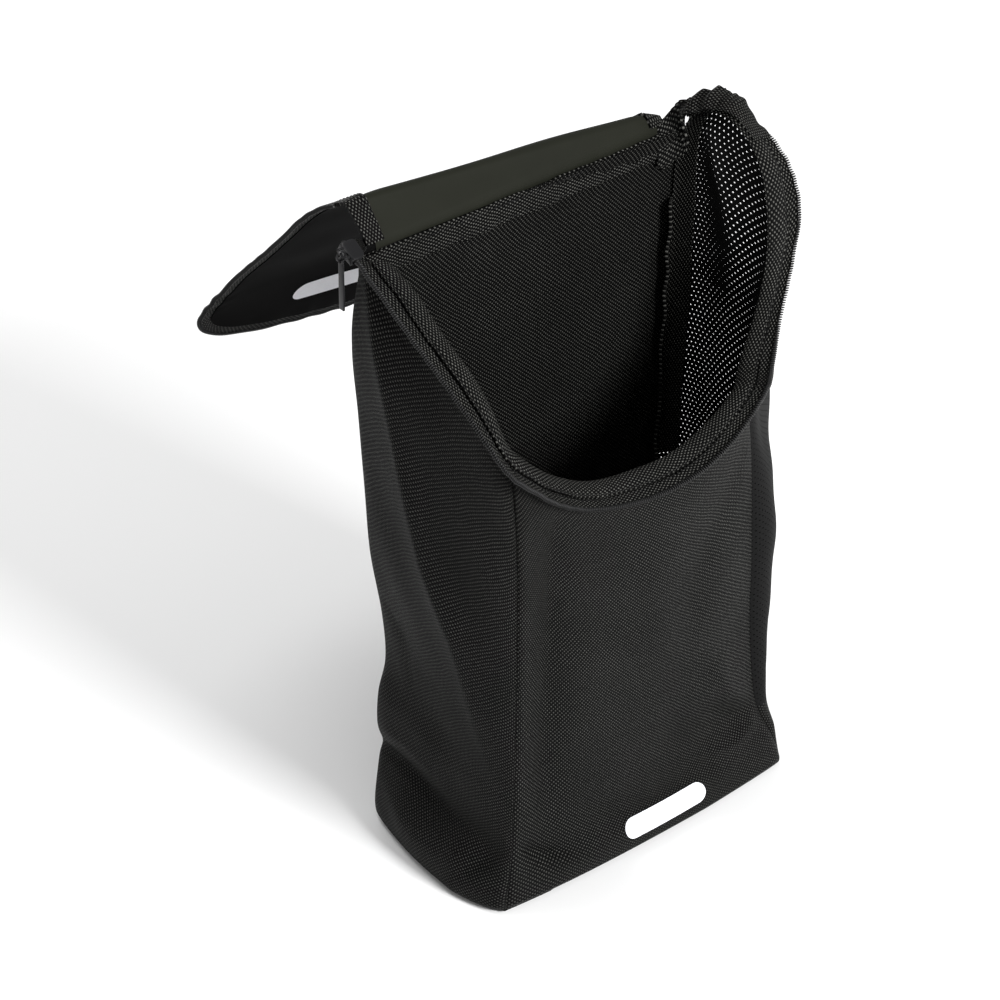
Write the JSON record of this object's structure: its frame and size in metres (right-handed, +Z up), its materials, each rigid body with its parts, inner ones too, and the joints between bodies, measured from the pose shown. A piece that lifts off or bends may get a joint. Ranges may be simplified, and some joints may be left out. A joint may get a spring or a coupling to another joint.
{
  "type": "shoe bag",
  "caption": "Upright soft shoe bag with a ventilated mesh side and a back-hinged zip-round lid thrown open, for carrying a pair of shoes.",
  "frame": {"origin": "centre of the base panel's underside, on the floor", "axes": "+Z up, -Y to the bag's front, +X to the mesh side"},
  "size_m": [0.2506, 0.2538, 0.3729],
  "materials": {
    "oxford": "matt woven polyester",
    "mesh": "open knitted air mesh",
    "webbing": "ribbed woven tape",
    "coated": "smooth polyurethane-coated cloth",
    "coil": "satin nylon coil",
    "slider": "black enamelled die-cast zinc",
    "print": "screen-printed white ink"
  },
  "bodies": {
    "bag": {"base_panel": "oxford", "front_panel": "oxford", "left_side_panel": "oxford", "right_side_lower_panel": "oxford", "back_panel": "oxford", "right_side_mesh": "mesh", "right_side_back_strip": "webbing", "rim_facing_left": "webbing", "rim_facing_front": "webbing", "rim_facing_right": "webbing", "body_zip_tape_left": "webbing", "body_zip_tape_front": "webbing", "body_zip_tape_right": "webbing", "body_zip_coil": "coil", "zip_stop_start": "coil", "zip_stop_end": "coil", "seam_binding_front_left": "webbing", "seam_binding_front_right": "webbing", "seam_binding_back_left": "webbing", "seam_binding_back_right": "webbing", "base_seam_binding": "webbing", "hinge_tape": "webbing", "hinge_tape_end_left": "webbing", "hinge_tape_end_right": "webbing", "zip_end_gather_left": "webbing", "zip_end_gather_right": "webbing", "handle_patch_left": "webbing", "handle_patch_right": "webbing", "carry_handle": "webbing", "front_print": "print"},
    "lid_strip": {"lid_strip_panel": "coated", "lid_strip_binding_left": "webbing", "lid_strip_binding_right": "webbing"},
    "lid_flap": {"lid_flap_panel": "coated", "lid_flap_zip_tape_left": "webbing", "lid_flap_zip_tape_right": "webbing", "lid_flap_zip_coil_left": "coil", "lid_flap_zip_coil_right": "coil"},
    "lid_tongue": {"lid_tongue_panel": "coated", "lid_tongue_zip_tape": "webbing", "lid_tongue_zip_coil": "coil", "lid_print": "print"},
    "zip_slider": {"zip_slider_body": "slider", "zip_slider_bridge": "slider"},
    "zip_pull": {"zip_pull_ring": "slider", "zip_pull_tab": "slider"}
  },
  "joints": [
    {"name": "lid_hinge", "type": "hinge", "parent": "bag", "child": "lid_strip", "pos_m": [0, 0.054, 0.3515], "axis": [1, 0, 0], "range_deg": [-25, 130]},
    {"name": "lid_crease", "type": "hinge", "parent": "lid_strip", "child": "lid_flap", "pos_m": [0, 0.06453, 0.36548], "axis": [0.9964, -0.051, -0.0676], "range_deg": [-10, 120]},
    {"name": "lid_fold", "type": "hinge", "parent": "lid_flap", "child": "lid_tongue", "pos_m": [-0.01156, 0.15546, 0.28196], "axis": [0.9921, 0.0112, -0.1251], "range_deg": [-15, 81]},
    {"name": "zip_slide", "type": "slide", "parent": "bag", "child": "zip_slider", "axis": [0, -0.8764, -0.4816], "range_m": [0, 0.08]},
    {"name": "zip_pull_swing", "type": "hinge", "parent": "zip_slider", "child": "zip_pull", "pos_m": [-0.1159, 0.04948, 0.35691], "axis": [0, 0.8764, 0.4816], "range_deg": [0, 110]}
  ]
}
